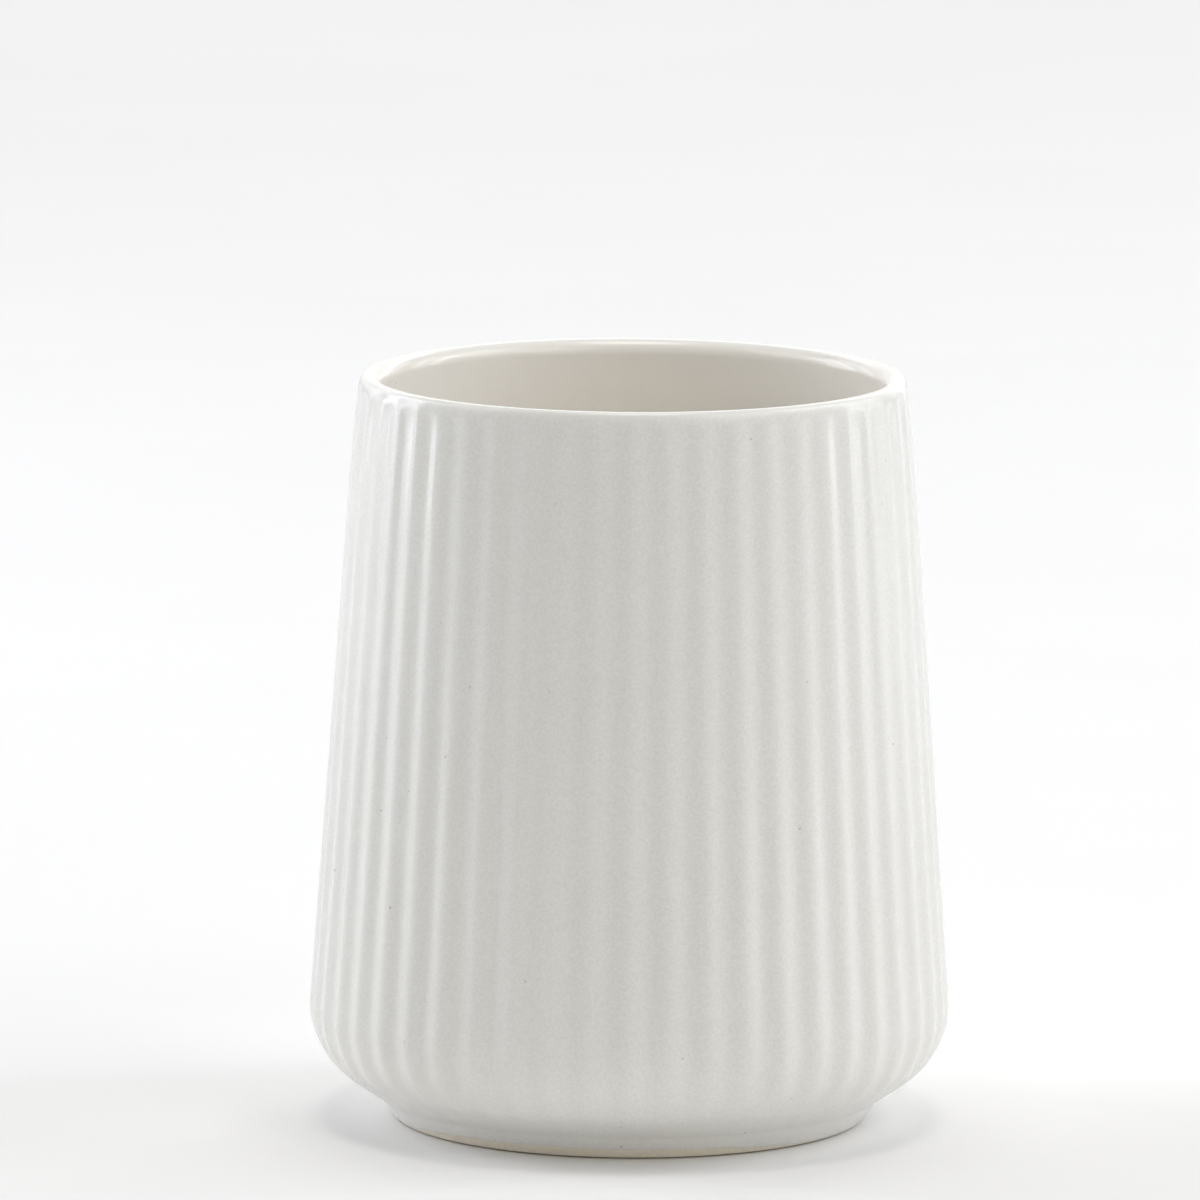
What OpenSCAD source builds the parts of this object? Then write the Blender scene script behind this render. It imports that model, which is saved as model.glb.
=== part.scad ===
// Fluted ceramic toothbrush holder: one fired body that stands on four stuck-on pads.
// The origin is under the middle of the body, on the surface it stands on. +Z is up.
// The body is round, so +X and -Y are any two sides of it, with a ridge facing -Y.

/* [Body] */
// Height of the lip above the surface that the holder stands on
height = 100; // [85:0.5:130]
// Diameter of the body at its widest, low on the belly
belly_d = 85.5; // [78:0.5:110]
// Radius of the round between the wall and the underside
belly_round = 11.4; // [8:0.1:14]
// Rise of the sloping underside, in degrees from level
underside_slope = 34; // [24:1:44]
// Lean of the wall, in degrees from upright
wall_lean = 4.1; // [1:0.1:7]
// Height of the band under the lip where the wall leans a little more
tuck_h = 16.4; // [8:0.1:30]
// Lean of the wall in that band, in degrees from upright
tuck_lean = 5.1; // [4.2:0.1:8]

/* [Wall and well] */
// Thickness of the wall at the lip, which is fully rounded
lip_t = 2.9; // [2.6:0.1:5]
// Thickness of the wall at the belly
belly_t = 4.2; // [3.4:0.1:6]
// Thickness of the floor
floor_t = 4.5; // [3:0.1:6.5]
// Thickness of the sloping underside, where the well's round comes nearest to it
underside_t = 3.25; // [2.6:0.05:5]

/* [Foot] */
// Diameter of the foot ring where it is nearest the surface
foot_d = 62.8; // [50:0.2:70]
// Height of the foot ring from its ground face to the crease under the belly
foot_h = 3.0; // [1.8:0.05:4]
// How much further out the crease is than the ground face
foot_flare = 2.2; // [0.8:0.1:3]
// Width of the foot ring
foot_ring_w = 4.4; // [3:0.1:7]
// Bevel along both edges of the ground face
foot_bevel = 0.2; // [0.15:0.05:0.8]
// Clearance that the pads leave between the foot ring and the surface
stand_off = 0.1; // [0.05:0.05:0.8]

/* [Flutes] */
// Number of flutes round the body
flute_count = 50; // [36:1:64]
// Depth of a flute
flute_depth = 0.35; // [0.3:0.05:0.7]
// Share of the pitch that a flute takes, the rest being the ridge
flute_share = 0.8; // [0.6:0.01:0.84]
// Angle round the belly over which a flute runs out, in degrees
flute_fade = 57; // [40:1:60]

/* [Pads] */
// Diameter of a pad where it is stuck on
pad_d = 9; // [6:0.5:11]
// Thickness of a pad
pad_t = 2; // [1.9:0.05:3]
// Diameter of the flat that a pad stands on
pad_flat_d = 5; // [3:0.5:6]
// Height of a pad's straight edge, above its domed side
pad_edge_h = 0.5; // [0.2:0.05:0.9]
// Clearance between a pad and the inside of the foot ring
pad_inset = 2.5; // [0.5:0.1:6]

/* [Hidden] */
$fn = 96;
// How far a straight run is sunk into the round that it meets, so that they cross cleanly
seam_bite = 0.02;
// How far a cutter runs past the surface that it cuts
overrun = 0.15;
// How far a flute's run up the wall laps over its bend round the belly
flute_lap = 2;
// How far a flute's cutter goes on round the belly after it has left the surface, in degrees
fade_overrun = 6;

// Unit vector at an angle from +R towards +Z
function heading(a) = [cos(a), sin(a)];
// Unit vector upwards that leans in from +Z towards the axis by an angle
function upward(a) = [-sin(a), cos(a)];
// Angle of a vector from +R
function angle_of(v) = atan2(v.y, v.x);
// Radius of the cutter that leaves a groove of width w and depth d in a flat face
function groove_r(w, d) = (w * w / 4 + d * d) / (2 * d);

// The foot: its sizes at the ground face, and the crease where the underside starts.
// The recess inside it is as deep as the pads' thickness less the clearance.
foot_r = foot_d / 2;
recess_r = foot_r - foot_ring_w;
crease = [foot_r + foot_flare, stand_off + foot_h];

// The belly's round touches the underside and the wall
belly_c_r = belly_d / 2 - belly_round;
belly_c_rise = (belly_round + sin(underside_slope) * (belly_c_r - crease.x)) / cos(underside_slope);
belly_c = [belly_c_r, crease.y + belly_c_rise];
underside_end = belly_c - (belly_round - seam_bite) * upward(underside_slope);
wall_start = belly_c + belly_round * heading(wall_lean);
wall_up = upward(wall_lean);
tuck_up = upward(tuck_lean);
tuck_start = wall_start + wall_up * (height - tuck_h - wall_start.y) / wall_up.y;

// The lip is a full round whose outer side touches the band under it
lip_round = lip_t / 2;
lip_z = height - lip_round;
tuck_run = (lip_z + lip_round * sin(tuck_lean) - tuck_start.y) / tuck_up.y;
tuck_end = tuck_start + tuck_run * tuck_up;
lip_c = tuck_end - lip_round * heading(tuck_lean);

// The well: a floor, a round, and a wall that touches both the round and the lip.
// Its round is as large as keeps the thicknesses of the wall, the floor and the underside, and
// corner_past is how far a square corner in its place would reach past the underside's thickness.
floor_z = pad_t + floor_t;
well_r = belly_d / 2 - belly_t;
corner_past = underside_t - [well_r - crease.x, floor_z - crease.y] * upward(underside_slope);
well_round = corner_past / (sin(underside_slope) + cos(underside_slope) - 1);
well_c = [well_r - well_round, floor_z + well_round - seam_bite];
well_to_lip = lip_c - well_c;
well_lean = angle_of(well_to_lip) - acos((well_round + lip_round) / norm(well_to_lip));
well_wall_start = well_c + (well_round - seam_bite) * heading(well_lean);
well_wall_end = lip_c - (lip_round - seam_bite) * heading(well_lean);

// The flutes follow the wall, and then a flatter arc than the belly's, so that they run out
flute_r_low = groove_r(flute_share * PI * belly_d / flute_count, flute_depth);
flute_r_high = groove_r(flute_share * PI * 2 * tuck_end.x / flute_count, flute_depth);
flute_run = (height - wall_start.y) / cos(wall_lean);
flute_taper = atan((flute_r_low - flute_r_high) / flute_run);
flute_tilt = wall_lean + flute_taper;
fade_r = belly_round + flute_depth * cos(flute_fade) / (1 - cos(flute_fade));
fade_c = wall_start - flute_depth * heading(wall_lean) - fade_r * heading(flute_tilt);
flute_start = fade_c + (fade_r + flute_r_low) * heading(flute_tilt);
cutter_depth = flute_depth + overrun;

// The pads stand in the recess, and each dome runs from the flat's edge to the straight edge
pad_circle_r = recess_r - pad_inset - pad_d / 2;
dome_h = pad_t - pad_edge_h;
dome_c_z = (pad_d * pad_d / 4 - pad_flat_d * pad_flat_d / 4 + dome_h * dome_h) / (2 * dome_h);
dome_r = norm([pad_flat_d / 2, dome_c_z]);

// Half section of the solid ware without its lip: foot, underside, belly and wall
module ware_section() {
    polygon([
        [0, pad_t],
        [recess_r, pad_t],
        [recess_r, stand_off + foot_bevel],
        [recess_r + foot_bevel, stand_off],
        [foot_r - foot_bevel, stand_off],
        [foot_r, stand_off + foot_bevel],
        crease,
        underside_end,
        belly_c,
        wall_start - seam_bite * heading(wall_lean),
        tuck_start,
        tuck_end - seam_bite * heading(tuck_lean),
        lip_c,
        well_wall_end,
        [0, well_wall_end.y]
    ]);
    intersection() {
        translate(belly_c) circle(r = belly_round);
        translate([0, pad_t]) square([belly_d, height]);
    }
}

// Half section of the well
module well_section() {
    polygon([
        [0, floor_z],
        [well_c.x, floor_z],
        well_wall_start,
        well_wall_end,
        [well_wall_end.x, height],
        [0, height]
    ]);
    translate(well_c) circle(r = well_round);
}

// Cutter of one flute, in the plane of +X: a tapered run up the wall and a bend round the belly.
// The run goes on below the bend's start, and the bend is a little slimmer, so that they cross cleanly.
module flute_cutter() {
    translate([flute_start.x, 0, flute_start.y])
    rotate([0, -flute_tilt, 0])
    intersection() {
        translate([0, 0, -flute_lap])
        cylinder(h = flute_run + flute_lap, r1 = flute_r_low + flute_lap * tan(flute_taper), r2 = flute_r_high);
        rotate([0, flute_taper, 0])
        translate([-flute_r_low - overrun, -2 * flute_r_low, -flute_run])
        cube([cutter_depth + overrun, 4 * flute_r_low, 3 * flute_run]);
    }
    translate([fade_c.x, 0, fade_c.y])
    rotate([90, 0, 0])
    rotate([0, 0, flute_tilt - flute_fade - fade_overrun])
    rotate_extrude(angle = flute_fade + fade_overrun)
    intersection() {
        translate([fade_r + flute_r_low, 0]) circle(r = flute_r_low - seam_bite);
        translate([fade_r - overrun, -flute_r_low]) square([cutter_depth + overrun, 2 * flute_r_low]);
    }
}

// The fired body, glazed all over but for the ground face of its foot
module ceramic_body() {
    color([0.93, 0.93, 0.91])
    difference() {
        rotate_extrude() {
            difference() {
                ware_section();
                well_section();
            }
            translate(lip_c) circle(r = lip_round);
        }
        for (i = [0 : flute_count - 1]) {
            rotate([0, 0, (i + 0.5) * 360 / flute_count - 90]) flute_cutter();
        }
    }
}

// One clear pad: a low dome with a flat to stand on, stuck to the ceiling of the recess
module foot_pad(turn) {
    color([0.86, 0.88, 0.88, 0.6])
    rotate([0, 0, turn])
    translate([pad_circle_r, 0, 0])
    intersection() {
        cylinder(h = pad_t, d = pad_d);
        translate([0, 0, dome_c_z]) sphere(r = dome_r);
    }
}

ceramic_body();
foot_pad(-90);  // foot_pad_front
foot_pad(0);  // foot_pad_right
foot_pad(90);  // foot_pad_back
foot_pad(180);  // foot_pad_left
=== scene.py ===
import math

import bpy
from mathutils import Matrix, Vector, noise


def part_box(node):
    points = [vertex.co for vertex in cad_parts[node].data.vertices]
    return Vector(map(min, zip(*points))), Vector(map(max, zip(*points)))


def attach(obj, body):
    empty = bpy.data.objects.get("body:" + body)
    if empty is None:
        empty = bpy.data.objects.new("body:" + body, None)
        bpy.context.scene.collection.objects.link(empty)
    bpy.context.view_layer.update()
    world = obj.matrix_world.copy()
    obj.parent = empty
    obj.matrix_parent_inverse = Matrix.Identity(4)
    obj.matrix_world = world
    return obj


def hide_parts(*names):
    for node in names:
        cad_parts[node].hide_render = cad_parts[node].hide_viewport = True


# The looks of a fluted ceramic toothbrush holder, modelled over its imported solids.
# Lengths are in metres, +Z is up and the cup stands on Z = 0 with a ridge facing -Y.

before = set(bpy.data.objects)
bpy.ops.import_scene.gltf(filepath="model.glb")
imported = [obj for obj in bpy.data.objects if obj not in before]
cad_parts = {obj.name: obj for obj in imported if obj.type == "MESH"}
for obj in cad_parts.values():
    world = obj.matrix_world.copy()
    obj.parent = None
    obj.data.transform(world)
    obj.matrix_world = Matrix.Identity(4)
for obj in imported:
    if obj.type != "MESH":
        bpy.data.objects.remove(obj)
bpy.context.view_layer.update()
bpy.ops.object.select_all(action="DESELECT")
MM = 0.001

# The solid gives the cup's height, its widest radius and the height of its ground face
body_low, body_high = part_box("ceramic_body")
TOP_Z = body_high.z
BELLY_R = body_high.y
GROUND_Z = body_low.z

# Foot ring, recess and sloping underside
RECESS_Z = 2.0 * MM
FOOT_R = 31.4 * MM
RECESS_R = 27.0 * MM
FOOT_EDGE_ROUND = 0.1 * MM
RECESS_ROUND = 0.5 * MM
CREASE = Vector((33.6 * MM, 3.1 * MM))
CREASE_ROUND = 2.2 * MM
UNDERSIDE_SLOPE = math.radians(34)

# Belly, wall and the gentle draw-in under the lip
BELLY_ROUND = 11.4 * MM
WALL_LEAN = math.radians(4.1)
TUCK_Z = 83.6 * MM
TUCK_ROUND = 450 * MM
SHOULDER_ROUND = 6 * MM
LIP_TURN = math.radians(22)
LIP_ROUND = 0.9 * MM
LIP_INNER_ROUND = 1.95 * MM

# Well
WELL_FLOOR_Z = 6.5 * MM
WELL_WALL_T = 4.2 * MM
WELL_ROUND = 8.5 * MM

# Steps along the cup's outline, from the middle of the recess to the middle of the well's floor
RECESS_STEPS = 4
FOOT_EDGE_STEPS = 3
FOOT_STEPS = 12
CREASE_STEPS = 4
UNDERSIDE_STEPS = 7
BELLY_STEPS = 18
WALL_STEPS = 15
TUCK_STEPS = 10
SHOULDER_STEPS = 7
LIP_STEPS = 16
LIP_INNER_STEPS = 14
WELL_STEPS = 8
WELL_ROUND_STEPS = 9
WELL_FLOOR_STEPS = 4

# Flutes: their count, the mesh columns in each, their depth from the top of the wall to the lower
# third, and where they run out
FLUTE_COUNT = 50
FLUTE_COLUMNS = 12
FLUTE_PITCH = 2 * math.pi / FLUTE_COUNT
FLUTE_DEPTH_HIGH = 0.245 * MM
FLUTE_DEPTH_LOW = 0.49 * MM
FLUTE_DEEPEST_Z = 30 * MM
FLUTE_SPREAD_Z = 32 * MM
FLUTE_FADE_Z = (3.4 * MM, 13 * MM)
FLUTE_TOP_FADE = (0.7 * MM, 3.0 * MM)
FLUTE_UNEVEN = 0.12
FLUTE_DEPTH_MOST = FLUTE_DEPTH_LOW * (1 + FLUTE_UNEVEN)

# Unevenness of the flutes and of the glaze's edge: its pace round the cup, and how many times faster
# it goes with the height, for each metre
UNEVEN_PACE = 9
UNEVEN_RISE = 15

# Glaze line on the foot: nearly down to the ground, but higher at the front, and the step at it
GLAZE_LINE_Z = 0.42 * MM
GLAZE_LINE_RISE = 1.1 * MM
GLAZE_LINE_TURN = math.radians(-102)
GLAZE_LINE_SPREAD = (0.48, 0.97)
GLAZE_LINE_WANDER = 0.14 * MM
GLAZE_STEP = 0.12 * MM
GLAZE_EDGE = 0.22 * MM

# Glaze: its tones in linear light, its gloss, and its clouds, flecks and orange peel. The shares say
# how far clouds, flecks and grooves take its tone from pale to deep; the grooves' darker tone is painted
# shade in the flute valleys.
GLAZE_PALE = (0.898, 0.890, 0.855, 1)
GLAZE_DEEP = (0.812, 0.803, 0.758, 1)
GLAZE_ROUGHNESS = (0.19, 0.25)
GLAZE_IOR = 1.5
CLOUD_GRAIN = 14 * MM
CLOUD_SHARE = 0.15
FLECK_GRAIN = 0.26 * MM
FLECK_DETAIL = 3.0
FLECK_SHARE = 0.7
FLECK_DEPTH = 0.0035 * MM
GROOVE_SHADE_SHARE = 0.1
PEEL_GRAIN = 3.2 * MM
PEEL_DEPTH = 0.012 * MM

# Glaze where it runs thin over the crest of the lip, also painted paler there as painted light on the lip's
# top and inner round
GLAZE_THIN_AND_LIT = (0.960, 0.950, 0.908, 1)
LIP_BREAK_AND_LIGHT_H = 1.3 * MM
LIP_BREAK_AND_LIGHT_SHARE = 0.85

# Glaze in the well: painted light, paler and warmer to stand in for the light and warm bounce inside it,
# and a little glossier
GLAZE_WELL_LIT = (0.965, 0.926, 0.860, 1)
WELL_LIGHT_SHARE = 0.85
WELL_GLOSS = 0.02

# Pinholes: the gap between their seeds in the ware, and the size of those that meet its skin
PINHOLE_GAP = 3.9 * MM
PINHOLE_R = 0.08 * MM
PINHOLE_EDGE = 0.24 * MM
PINHOLE_SHARE = 0.7
PINHOLE_DEPTH = 0.04 * MM
PINHOLE_COLOUR = (0.34, 0.30, 0.24, 1)

# Bare clay
CLAY_PALE = (0.97, 0.91, 0.79, 1)
CLAY_DARK = (0.91, 0.83, 0.69, 1)
CLAY_ROUGHNESS = 0.85
GRIT_GRAIN = 0.35 * MM
GRIT_DETAIL = 4.0
GRIT_DEPTH = 0.03 * MM

# Clear rubber
RUBBER_CLEAR = (0.90, 0.92, 0.92, 1)
RUBBER_CLOUDY = (0.80, 0.82, 0.82, 1)
RUBBER_ROUGHNESS = (0.22, 0.38)
RUBBER_IOR = 1.42
RUBBER_CLARITY = 0.7
RUBBER_DEPTH = 0.01 * MM
HAZE_GRAIN = 1.5 * MM
HAZE_DETAIL = 3.0

# Floor
FLOOR_PALE = (0.930, 0.926, 0.920, 1)
FLOOR_DEEP = (0.920, 0.916, 0.910, 1)
FLOOR_GRAIN = 60 * MM
FLOOR_ROUGHNESS = 0.8

# Uneven tones: how many noise patches fit in a grain, the part of the noise that is used, and how
# much finer detail it has where a finish doesn't say
MOTTLE_PATCH = 0.7
MOTTLE_SPREAD = (0.3, 0.7)
MOTTLE_DETAIL = 2.0

# Sockets of a Mix node for colours, by number because their names repeat
MIX_SHARE = 0
MIX_FIRST = 6
MIX_SECOND = 7
MIX_RESULT = 2

# Pads: their sizes, and where rings run inside the flat, as shares of its radius
PAD_R = 4.5 * MM
PAD_FLAT_R = 2.5 * MM
PAD_EDGE_H = 0.5 * MM
PAD_COLUMNS = 64
PAD_FLAT_RINGS = (0.3, 0.7)
PAD_DOME_STEPS = 8

# Stage: the floor's side in metres, and the strength of the light from all round
FLOOR_SIZE = 12.0
WORLD_STRENGTH = 0.15

# Tints of the lights at the sides, of those in front and overhead, and of those behind
COOL = (0.975, 1.0, 1.07)
WARM = (1.02, 1.0, 0.94)
WHITE = (1.0, 1.0, 1.0)

# Sizes of the lights that repeat
SOFTBOX = (0.7, 0.7)
STRIP = (0.12, 0.8)

# Soft lights: name, direction in degrees from +X, height, distance, size, power in watts and tint.
# The one overhead is just off the axis, so that its turn is settled.
STUDIO_LIGHTS = (
    ("back_softbox", 90, 0.5, 1.5, (3.0, 0.9), 7.8, WHITE),
    ("back_floor_panel", 90, 1.2, 1.6, (2.0, 0.6), 5.9, WHITE),
    ("right_softbox", 0, 0.9, 1.0, SOFTBOX, 4.15, COOL),
    ("left_softbox", 180, 0.9, 1.0, SOFTBOX, 2.4, COOL),
    ("front_right_softbox", -45, 0.9, 1.1, SOFTBOX, 2.9, WARM),
    ("front_wide_panel", -90, 0.5, 1.6, (3.0, 0.5), 3.75, WARM),
    ("top_softbox", 90, 1.3, 0.001, (0.45, 0.45), 3.7, WARM),
    ("left_strip_side", 164, 0.4, 1.1, STRIP, 2.15, COOL),
    ("left_strip", 150, 0.4, 1.1, STRIP, 2.3, COOL),
    ("left_strip_back", 134, 0.4, 1.1, STRIP, 0.75, COOL),
    ("right_strip_side", 16, 0.4, 1.1, STRIP, 1.55, COOL),
    ("right_strip", 30, 0.4, 1.1, STRIP, 1.0, COOL),
    ("right_strip_back", 64, 0.4, 1.1, STRIP, 0.5, COOL),
)

# Camera: its place, how far it looks down, its tilt to the side and its turn round the cup. The lens
# and the sensor are in millimetres, and the reach is in metres.
CAMERA_PLACE = Vector((-4.25 * MM, -1816.5 * MM, 355.7 * MM))
CAMERA_PITCH = math.radians(8.95)
CAMERA_ROLL = math.radians(0.35)
CAMERA_TURN = math.radians(0.25)
CAMERA_LENS = 414.15
CAMERA_SENSOR = 36
CAMERA_REACH = 100


# Shapes


def heading(angle):
    """Unit vector at an angle from the radius towards +Z."""
    return Vector((math.cos(angle), math.sin(angle)))


def smooth_share(value, start, end):
    """0 at start, 1 at end, and a soft turn between them."""
    share = min(max((value - start) / (end - start), 0.0), 1.0)
    return share * share * (3 - 2 * share)


def arc(centre, radius, start, end, steps):
    """Points of an outline round a centre, with both ends."""
    return [centre + radius * heading(start + (end - start) * i / steps) for i in range(steps + 1)]


def run(start, end, steps):
    """Points of a straight outline after its start."""
    return [start.lerp(end, i / steps) for i in range(1, steps + 1)]


def cup_outline():
    """The cup's outline from the middle of the recess, round the foot, up the wall and down the well."""
    foot_lean = math.atan2(CREASE.x - FOOT_R, CREASE.y - GROUND_Z - FOOT_EDGE_ROUND)
    recess_c = Vector((RECESS_R - RECESS_ROUND, RECESS_Z - RECESS_ROUND))
    inner_edge_c = Vector((RECESS_R + FOOT_EDGE_ROUND, GROUND_Z + FOOT_EDGE_ROUND))
    outer_edge_c = Vector((FOOT_R - FOOT_EDGE_ROUND, GROUND_Z + FOOT_EDGE_ROUND))
    bend = math.pi / 2 - foot_lean - UNDERSIDE_SLOPE
    crease_reach = CREASE_ROUND * math.tan(bend / 2)
    foot_up = heading(math.pi / 2 - foot_lean)
    crease_start = CREASE - crease_reach * foot_up
    crease_c = crease_start + CREASE_ROUND * heading(-foot_lean)
    belly_c_r = BELLY_R - BELLY_ROUND
    belly_rise = BELLY_ROUND + math.sin(UNDERSIDE_SLOPE) * (belly_c_r - CREASE.x)
    belly_c = Vector((belly_c_r, CREASE.y + belly_rise / math.cos(UNDERSIDE_SLOPE)))
    belly_start = belly_c - BELLY_ROUND * heading(math.pi / 2 + UNDERSIDE_SLOPE)
    wall_start = belly_c + BELLY_ROUND * heading(WALL_LEAN)
    tuck_start = wall_start + Vector((-math.tan(WALL_LEAN), 1)) * (TUCK_Z - wall_start.y)
    tuck_c = tuck_start - TUCK_ROUND * heading(WALL_LEAN)
    lip_z = TOP_Z - LIP_ROUND
    shoulder_rise = (SHOULDER_ROUND - LIP_ROUND) * math.sin(LIP_TURN)
    shoulder_lean = math.asin((lip_z - shoulder_rise - tuck_c.y) / (TUCK_ROUND - SHOULDER_ROUND))
    shoulder_c = tuck_c + (TUCK_ROUND - SHOULDER_ROUND) * heading(shoulder_lean)
    lip_c = shoulder_c + (SHOULDER_ROUND - LIP_ROUND) * heading(LIP_TURN)
    well_c = Vector((BELLY_R - WELL_WALL_T - WELL_ROUND, WELL_FLOOR_Z + WELL_ROUND))
    lip_inner_c = Vector((lip_c.x, TOP_Z - LIP_INNER_ROUND))
    to_lip = lip_inner_c - well_c
    well_lean = math.atan2(to_lip.y, to_lip.x) - math.acos((WELL_ROUND + LIP_INNER_ROUND) / to_lip.length)
    lip_end = lip_inner_c - LIP_INNER_ROUND * heading(well_lean)
    well_start = well_c + WELL_ROUND * heading(well_lean)

    points = run(Vector((0, RECESS_Z)), recess_c + Vector((0, RECESS_ROUND)), RECESS_STEPS)
    points += arc(recess_c, RECESS_ROUND, math.pi / 2, 0, FOOT_EDGE_STEPS)[1:]
    points += arc(inner_edge_c, FOOT_EDGE_ROUND, math.pi, 1.5 * math.pi, FOOT_EDGE_STEPS)
    points += arc(outer_edge_c, FOOT_EDGE_ROUND, -math.pi / 2, -foot_lean, FOOT_EDGE_STEPS)
    points += run(points[-1], crease_start, FOOT_STEPS)
    points += arc(crease_c, CREASE_ROUND, math.pi - foot_lean, math.pi - foot_lean - bend, CREASE_STEPS)[1:]
    points += run(points[-1], belly_start, UNDERSIDE_STEPS)
    points += arc(belly_c, BELLY_ROUND, UNDERSIDE_SLOPE - math.pi / 2, WALL_LEAN, BELLY_STEPS)[1:]
    points += run(wall_start, tuck_start, WALL_STEPS)
    points += arc(tuck_c, TUCK_ROUND, WALL_LEAN, shoulder_lean, TUCK_STEPS)[1:]
    points += arc(shoulder_c, SHOULDER_ROUND, shoulder_lean, LIP_TURN, SHOULDER_STEPS)[1:]
    points += arc(lip_c, LIP_ROUND, LIP_TURN, math.pi / 2, LIP_STEPS)[1:]
    points += arc(lip_inner_c, LIP_INNER_ROUND, math.pi / 2, math.pi + well_lean, LIP_INNER_STEPS)[1:]
    points += run(lip_end, well_start, WELL_STEPS)
    points += arc(well_c, WELL_ROUND, well_lean, -math.pi / 2, WELL_ROUND_STEPS)[1:]
    points += run(points[-1], Vector((0, WELL_FLOOR_Z)), WELL_FLOOR_STEPS)[:-1]
    return points


def turned(name, outline, columns, middle=(0, 0)):
    """Turns an outline of (radius, height) points into a closed skin round an upright axis.

    The first ring is a circle. Each next one is extruded, set to its height and widened to its
    radius. Both ends close in a point."""
    bpy.ops.mesh.primitive_circle_add(vertices=columns, radius=outline[0].x, location=(0, 0, outline[0].y))
    piece = bpy.context.object
    piece.name = name
    bpy.ops.object.transform_apply()
    bpy.ops.object.mode_set(mode="EDIT")
    for ring, next_ring in zip(outline, outline[1:]):
        rise = (0, 0, next_ring.y - ring.y)
        bpy.ops.mesh.extrude_region_move(TRANSFORM_OT_translate={"value": rise})
        widen = next_ring.x / ring.x
        bpy.ops.transform.resize(value=(widen, widen, 1), center_override=(0, 0, 0))
    bpy.ops.mesh.extrude_region_move()
    bpy.ops.mesh.merge(type="CENTER")
    bpy.ops.mesh.select_all(action="DESELECT")
    bpy.ops.mesh.select_non_manifold(extend=False, use_wire=False, use_multi_face=False,
                                     use_non_contiguous=False, use_verts=False)
    bpy.ops.mesh.extrude_region_move()
    bpy.ops.mesh.merge(type="CENTER")
    bpy.ops.mesh.select_all(action="SELECT")
    bpy.ops.mesh.normals_make_consistent(inside=False)
    bpy.ops.transform.translate(value=(middle[0], middle[1], 0))
    bpy.ops.object.mode_set(mode="OBJECT")
    bpy.ops.object.shade_smooth()
    return piece


def faces_out(vertex):
    """True on the outer skin, from the foot up to the crest of the lip."""
    return vertex.normal.x * vertex.co.x + vertex.normal.y * vertex.co.y > 0


def flute_depth(z):
    """Depth of the flutes at a height, deepest in the lower third of the wall."""
    swell = math.exp(-((z - FLUTE_DEEPEST_Z) / FLUTE_SPREAD_Z) ** 2)
    depth = FLUTE_DEPTH_HIGH + (FLUTE_DEPTH_LOW - FLUTE_DEPTH_HIGH) * swell
    return depth * smooth_share(z, *FLUTE_FADE_Z) * smooth_share(TOP_Z - z, *FLUTE_TOP_FADE)


def glaze_line(turn):
    """Height of the glaze's lower edge on the foot, in a direction round the cup."""
    rise = smooth_share(math.cos(turn - GLAZE_LINE_TURN), *GLAZE_LINE_SPREAD)
    wander = noise.noise(Vector((math.cos(turn), math.sin(turn), 0)) * UNEVEN_PACE)
    return GLAZE_LINE_Z + GLAZE_LINE_RISE * rise + GLAZE_LINE_WANDER * wander


def sink(piece, name, depth, shares):
    """Presses a piece in along its normals, by a depth times a share for each vertex."""
    group = piece.vertex_groups.new(name=name)
    for index, share in shares.items():
        group.add([index], share, "REPLACE")
    press = piece.modifiers.new(name, "DISPLACE")
    press.strength = -depth
    press.mid_level = 0
    press.vertex_group = name
    bpy.context.view_layer.objects.active = piece
    bpy.ops.object.modifier_apply(modifier=name)


def flute_shares(piece):
    """How deep each vertex of the wall lies in a flute, as a share of the deepest.

    A turn is counted from -Y, where a ridge is."""
    shares = {}
    for vertex in piece.data.vertices:
        z = vertex.co.z
        if z < FLUTE_FADE_Z[0] or not faces_out(vertex):
            continue
        turn = math.atan2(vertex.co.y, vertex.co.x) + math.pi / 2
        across = 0.5 - 0.5 * math.cos(turn * FLUTE_COUNT)
        middle = (math.floor(turn / FLUTE_PITCH) + 0.5) * FLUTE_PITCH
        place = Vector((math.cos(middle), math.sin(middle), z * UNEVEN_RISE))
        uneven = noise.noise(place * UNEVEN_PACE)
        depth = flute_depth(z) * across * (1 + FLUTE_UNEVEN * uneven)
        if depth > 0:
            shares[vertex.index] = min(depth / FLUTE_DEPTH_MOST, 1.0)
    return shares


def bare_shares(piece):
    """1 where the foot is bare clay, 0 where it is glazed, and a soft edge between."""
    shares = {}
    for vertex in piece.data.vertices:
        radius = math.hypot(vertex.co.x, vertex.co.y)
        on_ring = RECESS_R + FOOT_EDGE_ROUND / 2 <= radius <= CREASE.x
        if on_ring and vertex.co.z <= RECESS_Z + GLAZE_LINE_RISE:
            line = glaze_line(math.atan2(vertex.co.y, vertex.co.x))
            shares[vertex.index] = 1 - smooth_share(vertex.co.z, line - GLAZE_EDGE, line)
    return shares


def well_shares(piece):
    """1 on the skin of the well, and 0 elsewhere."""
    inner = [vertex for vertex in piece.data.vertices if not faces_out(vertex)]
    return {vertex.index: 1.0 for vertex in inner if vertex.co.z > WELL_FLOOR_Z}


def keep_as_attribute(piece, name, shares):
    """Keeps the shares on the mesh, where the materials read them."""
    attribute = piece.data.attributes.new(name, "FLOAT", "POINT")
    for index, share in shares.items():
        attribute.data[index].value = share


# Finishes


def node(tree, kind, inputs=None, **settings):
    """Adds a shader node. Each input is another node's output, or a plain value."""
    made = tree.nodes.new("ShaderNode" + kind)
    for name, value in settings.items():
        setattr(made, name, value)
    for name, value in (inputs or {}).items():
        if isinstance(value, bpy.types.NodeSocket):
            tree.links.new(value, made.inputs[name])
        else:
            made.inputs[name].default_value = value
    return made


def calc(tree, operation, *values):
    """The result of one operation on two or three values."""
    return node(tree, "Math", dict(enumerate(values)), operation=operation).outputs["Value"]


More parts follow.
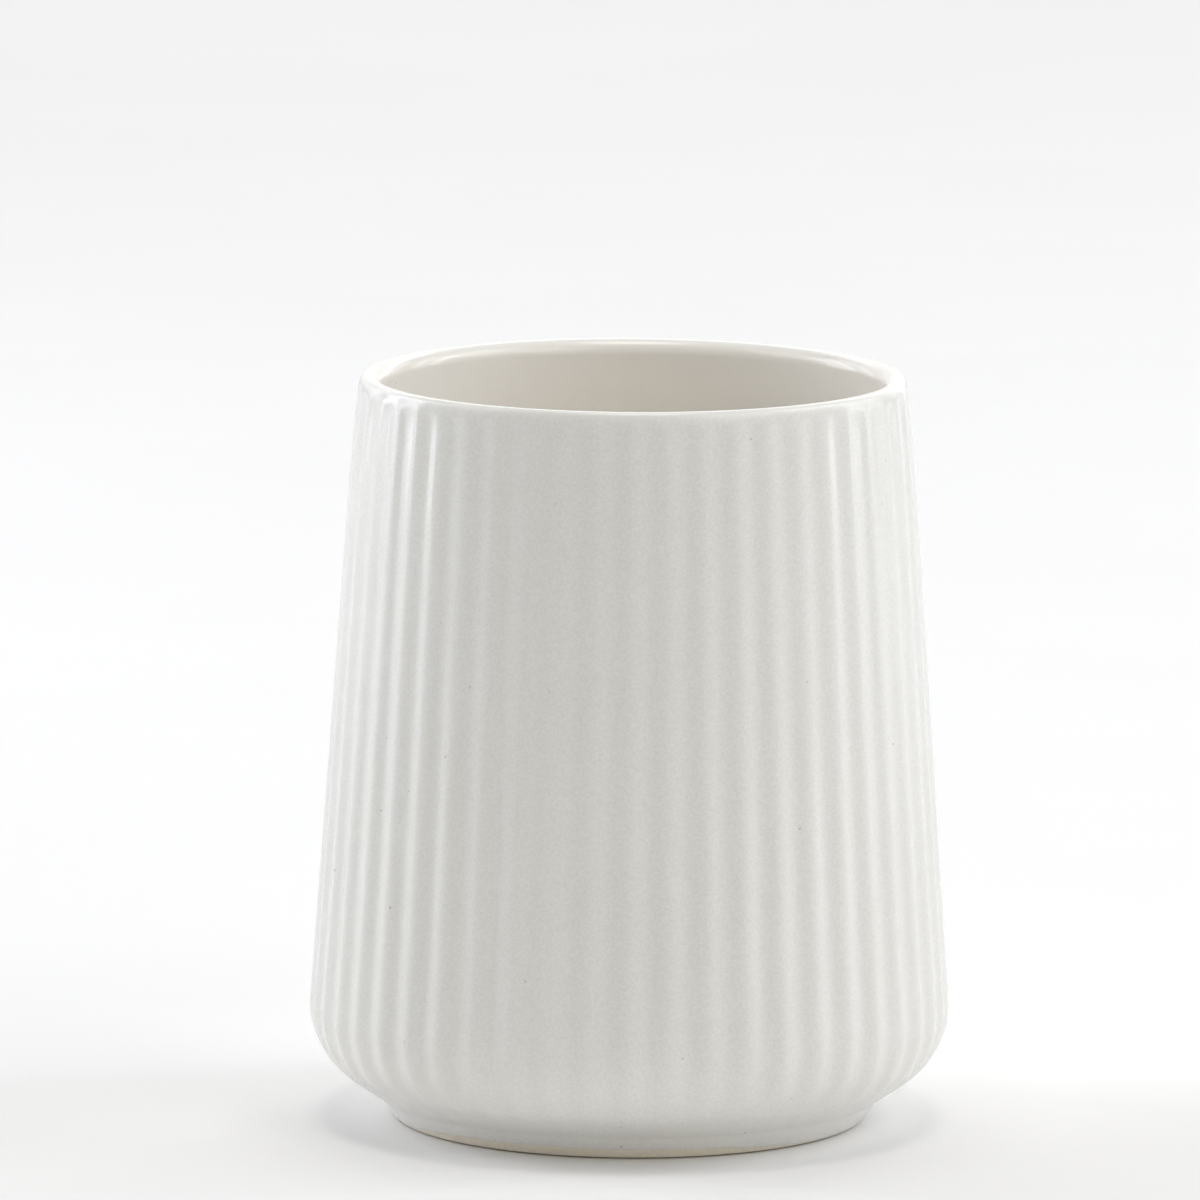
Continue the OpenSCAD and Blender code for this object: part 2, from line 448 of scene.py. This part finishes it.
def step_up(tree, value, start, end, low=0.0, high=1.0):
    """A value that turns softly from low at start to high at end."""
    limits = {"Value": value, "From Min": start, "From Max": end, "To Min": low, "To Max": high}
    return node(tree, "MapRange", limits, interpolation_type="SMOOTHSTEP").outputs["Result"]


def blend(tree, share, first, second):
    """The first colour where the share is 0, and the second where it is 1."""
    inputs = {MIX_SHARE: share, MIX_FIRST: first, MIX_SECOND: second}
    return node(tree, "Mix", inputs, data_type="RGBA").outputs[MIX_RESULT]


def mask(tree, name):
    """A mask that is kept on the piece's mesh."""
    return node(tree, "Attribute", attribute_name=name).outputs["Fac"]


def here(tree):
    """The place on the piece, in metres."""
    return node(tree, "TexCoord").outputs["Object"]


def soft_mottle_group():
    """Node group of an uneven tone, from 0 to 1, whose patches are about one grain across."""
    group = bpy.data.node_groups.new("soft_mottle", "ShaderNodeTree")
    group.interface.new_socket("Place", in_out="INPUT", socket_type="NodeSocketVector")
    group.interface.new_socket("Grain", in_out="INPUT", socket_type="NodeSocketFloat")
    group.interface.new_socket("Detail", in_out="INPUT", socket_type="NodeSocketFloat")
    group.interface.new_socket("Mottle", in_out="OUTPUT", socket_type="NodeSocketFloat")
    given = group.nodes.new("NodeGroupInput").outputs
    scale = calc(group, "DIVIDE", MOTTLE_PATCH, given["Grain"])
    tone = node(group, "TexNoise", {"Vector": given["Place"], "Scale": scale, "Detail": given["Detail"]})
    spread = step_up(group, tone.outputs["Fac"], *MOTTLE_SPREAD)
    group.links.new(spread, group.nodes.new("NodeGroupOutput").inputs["Mottle"])
    return group


def mottle(tree, grain, detail=MOTTLE_DETAIL):
    """An uneven tone from the shared group, from 0 to 1."""
    made = node(tree, "Group", node_tree=bpy.data.node_groups["soft_mottle"])
    tree.links.new(here(tree), made.inputs["Place"])
    made.inputs["Grain"].default_value = grain
    made.inputs["Detail"].default_value = detail
    return made.outputs["Mottle"]


def relief(tree, height, depth, under=None):
    """A bump of a given depth, laid over another one."""
    inputs = {"Height": height, "Distance": depth}
    if under is not None:
        inputs["Normal"] = under
    return node(tree, "Bump", inputs).outputs["Normal"]


def finish(name, **fixed):
    """A new material, its node tree and its shader, with the fixed sockets set."""
    made = bpy.data.materials.new(name)
    made.use_nodes = True
    shader = made.node_tree.nodes["Principled BSDF"]
    for socket, value in fixed.items():
        shader.inputs[socket.replace("_", " ")].default_value = value
    return made, made.node_tree, shader


def glaze_finish():
    """Satin white glaze with fine flecks and pinholes, painted shade in the flute valleys, and painted
    light on the lip and in the well, over a foot edge of bare clay.
    """
    made, tree, shader = finish("satin_glaze", IOR=GLAZE_IOR)
    clouds = mottle(tree, CLOUD_GRAIN)
    flecks = mottle(tree, FLECK_GRAIN, FLECK_DETAIL)
    peel = mottle(tree, PEEL_GRAIN)
    groove, bare, well = mask(tree, "groove"), mask(tree, "bare"), mask(tree, "well")

    # Painted shade: the glaze is darkened in the flute valleys, where shade falls
    groove_shade = calc(tree, "MULTIPLY", groove, GROOVE_SHADE_SHARE)
    cloudy = calc(tree, "MULTIPLY_ADD", clouds, CLOUD_SHARE, groove_shade)
    depth = calc(tree, "MULTIPLY_ADD", flecks, FLECK_SHARE, cloudy)
    colour = blend(tree, depth, GLAZE_PALE, GLAZE_DEEP)
    # Painted light: the well's glaze is painted paler and warmer for the light falling and bouncing in the
    # well
    colour = blend(tree, calc(tree, "MULTIPLY", well, WELL_LIGHT_SHARE), colour, GLAZE_WELL_LIT)

    height = node(tree, "SeparateXYZ", {"Vector": here(tree)}).outputs["Z"]
    # Partly thin glaze and partly painted light: the top of the lip is painted paler towards the crest
    crest = step_up(tree, height, TOP_Z - LIP_BREAK_AND_LIGHT_H, TOP_Z)
    colour = blend(tree, calc(tree, "MULTIPLY", crest, LIP_BREAK_AND_LIGHT_SHARE), colour, GLAZE_THIN_AND_LIT)

    cells = node(tree, "TexVoronoi", {"Vector": here(tree), "Scale": 1 / PINHOLE_GAP}, feature="F1")
    reach = (PINHOLE_R / PINHOLE_GAP, PINHOLE_EDGE / PINHOLE_GAP)
    pinhole = step_up(tree, cells.outputs["Distance"], *reach, 1.0, 0.0)
    strength = node(tree, "SeparateColor", {"Color": cells.outputs["Color"]}).outputs["Red"]
    pinhole = calc(tree, "MULTIPLY", pinhole, strength)
    colour = blend(tree, calc(tree, "MULTIPLY", pinhole, PINHOLE_SHARE), colour, PINHOLE_COLOUR)

    grit = mottle(tree, GRIT_GRAIN, GRIT_DETAIL)
    clay = blend(tree, grit, CLAY_PALE, CLAY_DARK)
    tree.links.new(blend(tree, bare, colour, clay), shader.inputs["Base Color"])

    satin = step_up(tree, clouds, 0.0, 1.0, *GLAZE_ROUGHNESS)
    satin = calc(tree, "SUBTRACT", satin, calc(tree, "MULTIPLY", well, WELL_GLOSS))
    rough = calc(tree, "MAXIMUM", satin, calc(tree, "MULTIPLY", bare, CLAY_ROUGHNESS))
    tree.links.new(rough, shader.inputs["Roughness"])

    normal = relief(tree, peel, PEEL_DEPTH)
    normal = relief(tree, flecks, FLECK_DEPTH, normal)
    normal = relief(tree, calc(tree, "MULTIPLY", pinhole, -1.0), PINHOLE_DEPTH, normal)
    normal = relief(tree, calc(tree, "MULTIPLY", grit, bare), GRIT_DEPTH, normal)
    tree.links.new(normal, shader.inputs["Normal"])
    return made


def pad_finish():
    """Clear soft rubber, a little cloudy."""
    made, tree, shader = finish("clear_rubber", Transmission_Weight=RUBBER_CLARITY, IOR=RUBBER_IOR)
    haze = mottle(tree, HAZE_GRAIN, HAZE_DETAIL)
    tree.links.new(blend(tree, haze, RUBBER_CLEAR, RUBBER_CLOUDY), shader.inputs["Base Color"])
    tree.links.new(step_up(tree, haze, 0.0, 1.0, *RUBBER_ROUGHNESS), shader.inputs["Roughness"])
    tree.links.new(relief(tree, haze, RUBBER_DEPTH), shader.inputs["Normal"])
    return made


def floor_finish():
    """Pale matt studio floor with a faint unevenness."""
    made, tree, shader = finish("pale_floor", Roughness=FLOOR_ROUGHNESS)
    patches = mottle(tree, FLOOR_GRAIN)
    tree.links.new(blend(tree, patches, FLOOR_PALE, FLOOR_DEEP), shader.inputs["Base Color"])
    return made


# Pieces


def make_cup():
    """The fired body: one closed skin with its flutes, its bare foot edge and its glaze."""
    cup = turned("cup_shell", cup_outline(), FLUTE_COUNT * FLUTE_COLUMNS)
    bare = bare_shares(cup)
    grooves = flute_shares(cup)
    sink(cup, "flutes", FLUTE_DEPTH_MOST, grooves)
    sink(cup, "bare_foot", GLAZE_STEP, bare)
    keep_as_attribute(cup, "bare", bare)
    keep_as_attribute(cup, "groove", grooves)
    keep_as_attribute(cup, "well", well_shares(cup))
    cup.data.materials.append(glaze_finish())
    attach(cup, "root")
    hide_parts("ceramic_body")


def make_pads():
    """The four clear pads: low domes with a flat to stand on, in the recess."""
    rubber = pad_finish()
    for place in ("front", "right", "back", "left"):
        low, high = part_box("foot_pad_" + place)
        dome_h = high.z - low.z - PAD_EDGE_H
        dome_c_z = (PAD_R ** 2 - PAD_FLAT_R ** 2 + dome_h ** 2) / (2 * dome_h)
        dome_r = math.hypot(PAD_FLAT_R, dome_c_z)
        start = math.atan2(-dome_c_z, PAD_FLAT_R)
        end = math.atan2(dome_h - dome_c_z, PAD_R)
        outline = [Vector((PAD_FLAT_R * share, low.z)) for share in PAD_FLAT_RINGS]
        outline += arc(Vector((0, low.z + dome_c_z)), dome_r, start, end, PAD_DOME_STEPS)
        outline += [Vector((PAD_R, high.z)), Vector((PAD_R / 2, high.z))]
        middle = ((low.x + high.x) / 2, (low.y + high.y) / 2)
        pad = turned("clear_pad_" + place, outline, PAD_COLUMNS, middle)
        pad.data.materials.append(rubber)
        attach(pad, "root")
        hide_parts("foot_pad_" + place)


# Stage, lights and camera


def make_stage():
    """The pale floor, and even light from all round."""
    bpy.ops.mesh.primitive_plane_add(size=FLOOR_SIZE)
    floor = bpy.context.object
    floor.name = "pale_floor"
    floor.data.materials.append(floor_finish())
    world = bpy.data.worlds.new("studio")
    bpy.context.scene.world = world
    world.use_nodes = True
    world.node_tree.nodes["Background"].inputs["Color"].default_value = (*WHITE, 1)
    world.node_tree.nodes["Background"].inputs["Strength"].default_value = WORLD_STRENGTH


def area_light(name, turn, height, distance, size, power, tint):
    """A soft rectangular light that faces the cup, in a direction round it from +X."""
    bpy.ops.object.light_add(type="AREA")
    light = bpy.context.object
    light.name = name
    light.data.shape = "RECTANGLE"
    light.data.size, light.data.size_y = size
    light.data.energy = power
    light.data.color = tint
    light.visible_camera = False
    place = Vector((math.cos(turn) * distance, math.sin(turn) * distance, height))
    aim = Vector((0, 0, TOP_Z / 2)) - place
    light.matrix_world = Matrix.Translation(place) @ aim.to_track_quat("-Z", "Y").to_matrix().to_4x4()


def make_camera():
    """The camera, far off with a long lens."""
    data = bpy.data.cameras.new("camera")
    camera = bpy.data.objects.new("camera", data)
    bpy.context.scene.collection.objects.link(camera)
    data.lens = CAMERA_LENS
    data.sensor_width = CAMERA_SENSOR
    data.clip_end = CAMERA_REACH
    tilt = Matrix.Rotation(math.pi / 2 - CAMERA_PITCH, 4, "X") @ Matrix.Rotation(CAMERA_ROLL, 4, "Z")
    camera.matrix_world = Matrix.Rotation(CAMERA_TURN, 4, "Z") @ Matrix.Translation(CAMERA_PLACE) @ tilt
    bpy.context.scene.camera = camera


soft_mottle_group()
make_cup()
make_pads()
make_stage()
for name, turn, height, distance, size, power, tint in STUDIO_LIGHTS:
    area_light(name, math.radians(turn), height, distance, size, power, tint)
make_camera()
bpy.context.scene.view_settings.view_transform = "Standard"
